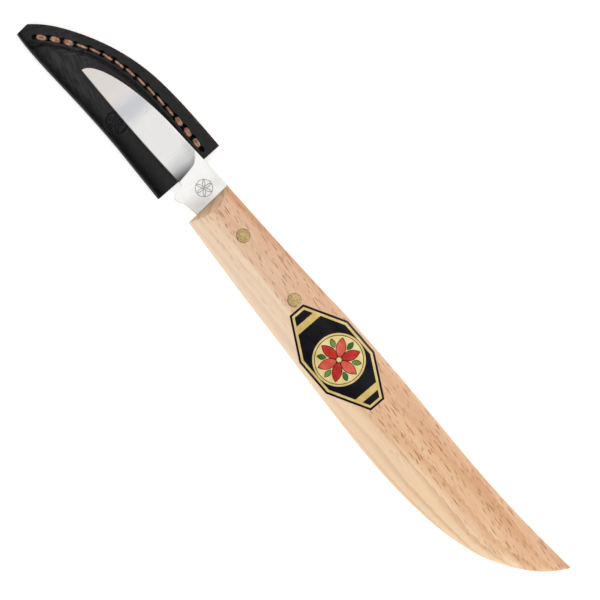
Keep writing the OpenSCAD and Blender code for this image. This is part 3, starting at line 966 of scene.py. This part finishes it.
def sheath_section(x):
    """Upper half outline of the folded leather at one station: y and z outside, then y and z inside."""
    sewn, fold, full = (float(curve(knots, x)) for knots in (SEWN, FOLD, PUFF))
    seam = float(curve(SEAM, max(x, SEAM[0][0])))
    on_seam = min(max(x, -67), -12.9)
    wide = math.hypot(1, float(curve(SEAM, on_seam + 0.1) - curve(SEAM, on_seam)) / 0.1)
    bend = fold + full
    crease = max(seam - CREASE_IN * wide, bend + 0.9)
    round_wide = min(FOLD_ROUND, max(1.5, crease - 0.9 - fold))
    keys = [sewn - 0.62, seam + FLAT_BY_SEAM * wide, seam - FLAT_BY_SEAM * wide,
            crease + CREASE_HALF, crease - CREASE_HALF, fold + round_wide]
    for i in range(1, 5):
        keys[i] = min(keys[i], keys[i - 1] - 0.08)
    for i in range(4, 0, -1):
        keys[i] = max(keys[i], keys[i + 1] + 0.08)

    def rise(place):
        """0 on the flat by the seam, 1 past the crease."""
        return float(ease((crease + CREASE_HALF - place) / (2 * CREASE_HALF)))

    y = [sewn - drop for drop, _ in CUT_EDGE]
    z = [high for _, high in CUT_EDGE]
    for a, b, n in zip(keys, keys[1:], (9, 15, 3, 10, 34)):
        for here in np.linspace(a, b, n, endpoint=False).tolist():
            across = (here - keys[5]) / max(keys[4] - keys[5], 0.1)
            crown = 0.95 + 0.05 * math.sin(math.pi * min(1, max(0, across)))
            y.append(here)
            z.append(LEATHER + (full * crown - LEATHER) * rise(here))
    for turn in np.linspace(0, math.pi / 2, 40):
        y.append(fold + round_wide * (1 - math.sin(turn)))
        z.append(full * math.cos(turn) * (1 - 0.05 * math.cos(turn)))

    hollow = full - LEATHER + 0.03
    top = crease + CREASE_HALF
    inner_y = list(np.linspace(sewn - 0.12, top, 6)) + list(np.linspace(top, bend, 16))[1:]
    inner_z = [0.03 + (hollow - 0.03) * rise(place) for place in inner_y]
    for turn in np.linspace(0, math.pi / 2, 10)[1:]:
        inner_y.append(bend - hollow * math.sin(turn))
        inner_z.append(hollow * math.cos(turn))
    return y, z, inner_y, inner_z


def sheath_outlines():
    """Upper half outlines outside and inside, station by station; the two ends are rounded over."""
    stations = np.concatenate([np.linspace(SHEATH_TIP, -66, 36), np.linspace(-66, -10.5, 270)[1:],
                               [-10.36, -10.24, SHEATH_MOUTH]])
    ends = np.concatenate([[0.12, 0.03], np.zeros(len(stations) - 5), [0.01, 0.06, 0.16]])
    outer, inner = [], []
    for x, shrink in zip(stations, ends):
        y, z, inner_y, inner_z = sheath_section(float(x))
        z = np.array(z)
        z = np.where(z > 0.5, z - shrink, z)
        outer.append(np.stack([np.full(len(y), x), y, z], 1))
        inner.append(np.stack([np.full(len(inner_y), x), inner_y, inner_z], 1))
    return np.array(outer), np.array(inner)


def set_points(piece, name, values):
    """Writes one number for each point, for the material to read."""
    attribute = piece.data.attributes.new(name, "FLOAT", "POINT")
    attribute.data.foreach_set("value", values.ravel().astype(np.float32))


def sheath_mesh(material):
    outer, inner = sheath_outlines()
    x, y = outer[..., 0], outer[..., 1]
    to_seam = nearest(x, y, seam_places(400))
    to_hole = nearest_slit(x, y, seam_places(STITCHES + 1))
    face = ease((outer[..., 2] - 1.3) / 0.4)
    groove = 1 - ease(to_seam / 0.85)
    dimple = (1 - np.clip(to_hole / 1.12, 0, 1)) ** 0.6
    swell = 0.05 * np.sin(x * 0.43 + 1.3 * np.sin(y * 0.35)) * np.sin(y * 0.5 + 0.9) - 0.05
    tucks = 0.07 * np.sin(3.1 * x - 1.7 * y) * np.exp(-((to_seam - 2.6) / 1.1) ** 2) * ease((-46 - x) / 9)
    mark = pressed_mark(x, y)
    wrinkle = 1 - ease(nearest(x, y, smooth_path(WRINKLE, 60)) / 0.42)
    top_drop = face * (0.2 * groove + 1.1 * dimple - swell + 0.2 * mark + 0.16 * wrinkle) - face * tucks
    low_drop = face * (0.2 * groove + 1.0 * dimple + 0.04)

    above, below = outer.copy(), outer * [1, 1, -1]
    above[..., 2] -= np.minimum(top_drop, above[..., 2] - 0.4 * face)
    below[..., 2] += np.minimum(low_drop, -below[..., 2] - 0.4 * face)
    rings = np.concatenate([above, below[:, -2::-1], inner * [1, 1, -1], inner[:, -2::-1]], 1)
    toward_mouth = ease((rings[..., 0] + 40) / 29.8)
    rings[..., 0] += toward_mouth * MOUTH_LEAN * (rings[..., 1] - 2.3)
    count, around = rings.shape[:2]
    half, hollow = outer.shape[1], inner.shape[1]
    faces = grid_faces(count, around, wrap=True)
    for station in (0, count - 1):
        faces += end_cap(station * around, half, hollow)
    piece = new_piece("sheath_folded", rings.reshape(-1, 3), faces, "sheath", [material])

    edge = np.zeros((count, around))
    lip = ease((LEATHER + 0.04 - outer[..., 2]) / 0.25) * (y > curve(SEWN, x) - 0.55)
    edge[:, :half] = lip
    edge[:, half:2 * half - 1] = lip[:, -2::-1]
    edge[[0, -2, -1]] = 1
    # Where the material paints shade: the stitch holes, the pressed mark and the wrinkle.
    sunk = np.zeros((count, around))
    sunk[:, :half] = face * np.maximum(dimple, np.maximum(0.5 * mark, 0.5 * wrinkle))
    sunk[:, half:2 * half - 1] = (face * dimple)[:, -2::-1]
    set_points(piece, "cut_edge", edge)
    set_points(piece, "pressed", sunk)
    return crisp(piece, 50)


def end_cap(base, half, hollow):
    """Triangles across the leather's thickness, between the outline outside and the one inside."""
    inside_from = base + 2 * half - 1
    outside = [base + k for k in range(half)]
    inside = [inside_from + 2 * hollow - 2 - k for k in range(hollow)]
    below = [base + 2 * half - 2 - k for k in range(half)]
    inside_low = [inside_from + k for k in range(hollow)]
    return strip_between(outside, inside) + strip_between(below, inside_low)


def strip_between(a, b):
    """Triangles between two rows of points with different counts."""
    faces, i, j = [], 0, 0
    while i < len(a) - 1 or j < len(b) - 1:
        if j == len(b) - 1 or (i < len(a) - 1 and (i + 1) / (len(a) - 1) <= (j + 1) / (len(b) - 1)):
            faces.append((a[i], a[i + 1], b[j]))
            i += 1
        else:
            faces.append((a[i], b[j + 1], b[j]))
            j += 1
    return faces


# ---- thread

def strand(start, stop, base, side, gap, radius):
    """A twisted three ply strand that comes out of one hole and goes into the next, as rings of points."""
    along = np.linspace(0, 1, 34)
    run = stop - start
    length = np.hypot(*run)
    run = run / length
    across = np.array([-run[1], run[0]])
    rise = np.clip(np.minimum(along, 1 - along) / 0.2, 0, 1)
    lift = base - 1.2 + 1.2 * np.sqrt(1 - (1 - rise) ** 2) - radius
    bow = side * np.clip(np.sin(math.pi * along), 0, 1) ** 0.4 + STITCH_SLANT * length * (along - 0.5)
    where = start + np.outer(gap + (length - 2 * gap) * along, run) + np.outer(bow, across)
    path = np.column_stack([where, lift])
    ahead = np.gradient(path, axis=0)
    ahead /= np.linalg.norm(ahead, axis=1)[:, None]
    sideways = np.cross(ahead, [0, 0, 1.0])
    sideways /= np.maximum(np.linalg.norm(sideways, axis=1)[:, None], 1e-9)
    upright = np.cross(sideways, ahead)
    angle = np.linspace(0, 2 * math.pi, 18, endpoint=False)
    twist = 2 * math.pi * STRAND_TURNS * along[:, None]
    lobed = radius * (0.86 + 0.14 * np.abs(np.cos(1.5 * (angle - twist))))
    aside, up = (np.cos(angle) * lobed)[..., None], (np.sin(angle) * lobed)[..., None]
    return path[:, None] + aside * sideways[:, None] + up * upright[:, None]


def thread_mesh(name, sign, material):
    """Every stitch on one face of the sheath; the first and the last three are sewn twice."""
    holes = seam_places(STITCHES + 1)
    points, faces = [], []
    top = LEATHER + 0.4
    for i in range(STITCHES):
        twice = i < BACK_TACKS or i >= STITCHES - BACK_TACKS
        gap, radius = (0.84, THREAD_RADIUS * 1.1) if twice else (0.6, THREAD_RADIUS * 0.94)
        for side in ((-0.37, 0.37) if twice else (0.0,)):
            rings = strand(holes[i, :2], holes[i + 1, :2], top, side, gap, radius) * [1, 1, sign]
            faces += solid_faces(rings, start=len(points), both=True)
            points += rings.reshape(-1, 3).tolist()
    return new_piece(name, points, faces, "sheath", [material])


# ---- studio

# Brightness of the studio by height of the direction: 0 at the horizon and below, 1 overhead.
SKY = [(0.0, 0.3), (0.36, 0.3), (0.5, 0.16), (0.7, 0.55), (0.88, 1.13), (1.0, 1.28)]
# It grows toward this side and falls away from it, by these shares.
BRIGHT_SIDE = (0.7, 0.6, 0)

FLOOR_HALF = 4.0
FLOOR_DROP = 0.0002

# The camera's plan place and the width that it sees, in metres, its lens and sensor, and its turn.
CAMERA_PLACE = (0.00115, 0.00141)
CAMERA_SEES = 0.168
CAMERA_LENS = 400
CAMERA_SENSOR = 36
CAMERA_TURN = math.radians(46)


def floor(material):
    mesh = bpy.data.meshes.new("floor")
    corners = [(x, y, -FLOOR_DROP) for x, y in ((-1, -1), (1, -1), (1, 1), (-1, 1))]
    corners = [(x * FLOOR_HALF, y * FLOOR_HALF, z) for x, y, z in corners]
    mesh.from_pydata(corners, [], [(0, 1, 2, 3)])
    mesh.materials.append(material)
    return in_scene("floor", mesh)


def soft_light(name, place, power):
    """A fill light that isn't seen in reflections."""
    light = bpy.data.lights.new(name, "AREA")
    light.size = 0.7
    light.energy = power
    lamp = in_scene(name, light)
    lamp.visible_glossy = False
    lamp.location = place
    lamp.rotation_euler = (-Vector(place)).to_track_quat("-Z", "Y").to_euler()


def surroundings():
    """A white studio: bright overhead, brighter toward the butt and the back, dark low down."""
    world = bpy.data.worlds.new("studio")
    bpy.context.scene.world = world
    world.use_nodes = True
    tree = world.node_tree
    place = add_node(tree, "ShaderNodeTexCoord").outputs["Generated"]
    height = add_node(tree, "ShaderNodeSeparateXYZ", {0: place}).outputs[2]
    ramp = add_node(tree, "ShaderNodeValToRGB", {0: height})
    sky = ramp.outputs[0]
    toward = add_node(tree, "ShaderNodeVectorMath", {0: place, 1: BRIGHT_SIDE}, operation="DOT_PRODUCT")
    light = add_node(tree, "ShaderNodeMath", {0: sky, 1: toward.outputs["Value"], 2: sky},
                     operation="MULTIPLY_ADD")
    stops = ramp.color_ramp.elements
    stops[0].position, stops[1].position = SKY[0][0], SKY[-1][0]
    for place_up, _ in SKY[1:-1]:
        stops.new(place_up)
    for stop, (_, value) in zip(stops, SKY):
        stop.color = (value, value, value, 1)
    tree.links.new(light.outputs[0], tree.nodes["Background"].inputs["Color"])


def camera():
    """Straight above the middle of the knife, turned so that the handle runs down to the right."""
    data = bpy.data.cameras.new("camera")
    data.sensor_width = CAMERA_SENSOR
    data.lens = CAMERA_LENS
    middle_z = (cad_box[0][2] + cad_box[1][2]) / 2
    eye = in_scene("camera", data)
    eye.location = (*CAMERA_PLACE, middle_z + CAMERA_SEES * CAMERA_LENS / CAMERA_SENSOR)
    eye.rotation_euler = (0, 0, CAMERA_TURN)
    bpy.context.scene.camera = eye


# ---- assembly

def fit(piece, body, slot, *nodes):
    """The piece moves with the body and stands for the CAD nodes, which are hidden. The slot is not used.
    """
    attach(piece, body)
    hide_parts(*nodes)


def main():
    brass_material, thread_material = brass(), thread()
    fit(handle_mesh(beech()), "knife", "beech", "handle")
    fit(blade_mesh(steel(row_xy(-4.0, 2.1))), "knife", "steel", "blade")
    for name, place in PIN_PLACES.items():
        fit(pin_mesh(name + "_end", place, brass_material), "knife", "brass", name)
    fit(label_mesh(label_inks()), "knife", "label", "label")
    fit(sheath_mesh(leather()), "sheath", "leather", "sheath_leather")
    fit(thread_mesh("needle_stitches", 1, thread_material), "sheath", "thread", "needle_thread")
    fit(thread_mesh("bobbin_stitches", -1, thread_material), "sheath", "thread", "bobbin_thread")

    floor(studio_floor())
    surroundings()
    soft_light("belly_fill", (0.3, -0.9, 0.8), 4.3)
    soft_light("back_fill", (-0.3, 0.95, 0.8), 2.5)
    camera()
    bpy.context.scene.view_settings.view_transform = "Standard"


main()
